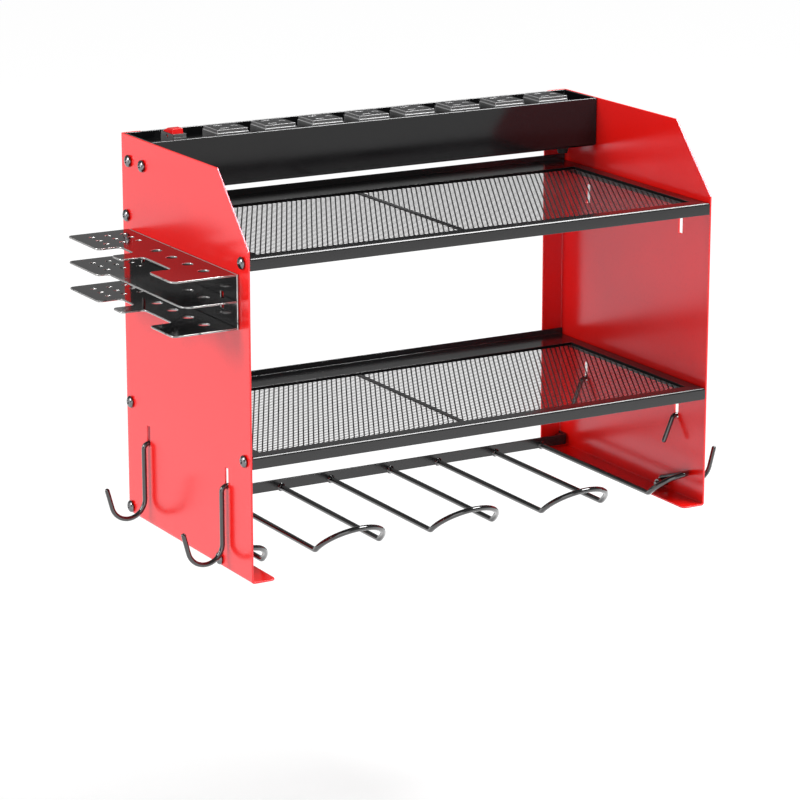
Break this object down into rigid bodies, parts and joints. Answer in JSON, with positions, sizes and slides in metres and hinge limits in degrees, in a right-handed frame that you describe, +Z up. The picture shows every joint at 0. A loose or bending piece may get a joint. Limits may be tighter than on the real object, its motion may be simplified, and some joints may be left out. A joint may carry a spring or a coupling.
{
  "type": "wall mounted power tool organizer",
  "caption": "Wall rack with two folded side panels, mesh shelves, a power strip tray, wire drill slots, J hooks and a lift-off side rack for hand tools.",
  "frame": {"origin": "on the wall plane, in the middle between the side panels, at their bottom edge", "axes": "+X to the right seen from the front, +Y towards the wall, +Z up; the front faces -Y"},
  "size_m": [0.528, 0.226, 0.3297],
  "materials": {
    "red_paint": "gloss",
    "shelf_black": "satin",
    "net_black": "satin",
    "tray_black": "gloss",
    "strip_plastic": "matte",
    "outlet_plastic": "matte",
    "brass": "satin",
    "rocker_red": "gloss",
    "inlet_rubber": "matte",
    "wire_black": "gloss",
    "rack_black": "gloss",
    "screw_metal": "gloss"
  },
  "bodies": {
    "organizer": {"left_side_panel": "red_paint", "right_side_panel": "red_paint", "top_shelf_frame": "shelf_black", "middle_shelf_frame": "shelf_black", "top_shelf_rib": "shelf_black", "middle_shelf_rib": "shelf_black", "top_shelf_net": "net_black", "middle_shelf_net": "net_black", "power_strip_tray": "tray_black", "power_strip_base": "strip_plastic", "power_strip_cover": "strip_plastic", "switch_bezel": "strip_plastic", "outlet_block_1": "outlet_plastic", "outlet_block_2": "outlet_plastic", "outlet_block_3": "outlet_plastic", "outlet_block_4": "outlet_plastic", "outlet_block_5": "outlet_plastic", "outlet_block_6": "outlet_plastic", "outlet_block_7": "outlet_plastic", "outlet_block_8": "outlet_plastic", "line_bus_bar": "brass", "earth_bus_bar": "brass", "neutral_bus_bar": "brass", "cord_inlet": "inlet_rubber", "drill_holder_rear_bar": "shelf_black", "drill_loop_1": "wire_black", "drill_loop_2": "wire_black", "drill_loop_3": "wire_black", "drill_half_loop_left": "wire_black", "drill_half_loop_right": "wire_black", "top_shelf_front_screw_left": "screw_metal", "top_shelf_front_screw_right": "screw_metal", "top_shelf_back_screw_left": "screw_metal", "top_shelf_back_screw_right": "screw_metal", "middle_shelf_front_screw_left": "screw_metal", "middle_shelf_front_screw_right": "screw_metal", "middle_shelf_back_screw_left": "screw_metal", "middle_shelf_back_screw_right": "screw_metal", "tray_front_screw_left": "screw_metal", "tray_front_screw_right": "screw_metal", "tray_back_screw_left": "screw_metal", "tray_back_screw_right": "screw_metal", "drill_holder_front_screw_left": "screw_metal", "drill_holder_front_screw_right": "screw_metal", "drill_holder_back_screw_left": "screw_metal", "drill_holder_back_screw_right": "screw_metal", "drill_holder_front_nut_left": "screw_metal", "drill_holder_front_nut_right": "screw_metal", "drill_holder_back_nut_left": "screw_metal", "drill_holder_back_nut_right": "screw_metal"},
    "rocker": {"rocker_switch": "rocker_red"},
    "side_rack": {"side_rack_back_plate": "rack_black", "side_rack_top_shelf": "rack_black", "side_rack_middle_shelf": "rack_black", "side_rack_bottom_shelf": "rack_black"},
    "hook_left_front": {"hook_left_front": "wire_black"},
    "hook_left_back": {"hook_left_back": "wire_black"},
    "hook_right_front": {"hook_right_front": "wire_black"},
    "hook_right_back": {"hook_right_back": "wire_black"}
  },
  "joints": [
    {"name": "rocker_tilt", "type": "hinge", "parent": "organizer", "child": "rocker", "pos_m": [-0.1832, -0.0339, 0.3232], "axis": [1, 0, 0], "range_deg": [0, 22]},
    {"name": "side_rack_lift", "type": "slide", "parent": "organizer", "child": "side_rack", "axis": [0, 0, 1], "range_m": [0, 0.012]},
    {"name": "hook_left_front_swing", "type": "hinge", "parent": "organizer", "child": "hook_left_front", "pos_m": [-0.21425, -0.184, 0.07], "axis": [0, 1, 0], "range_deg": [0, 15]},
    {"name": "hook_left_back_swing", "type": "hinge", "parent": "organizer", "child": "hook_left_back", "pos_m": [-0.21425, -0.042, 0.07], "axis": [0, 1, 0], "range_deg": [0, 15]},
    {"name": "hook_right_front_swing", "type": "hinge", "parent": "organizer", "child": "hook_right_front", "pos_m": [0.21425, -0.184, 0.07], "axis": [0, -1, 0], "range_deg": [0, 15]},
    {"name": "hook_right_back_swing", "type": "hinge", "parent": "organizer", "child": "hook_right_back", "pos_m": [0.21425, -0.042, 0.07], "axis": [0, -1, 0], "range_deg": [0, 15]}
  ]
}
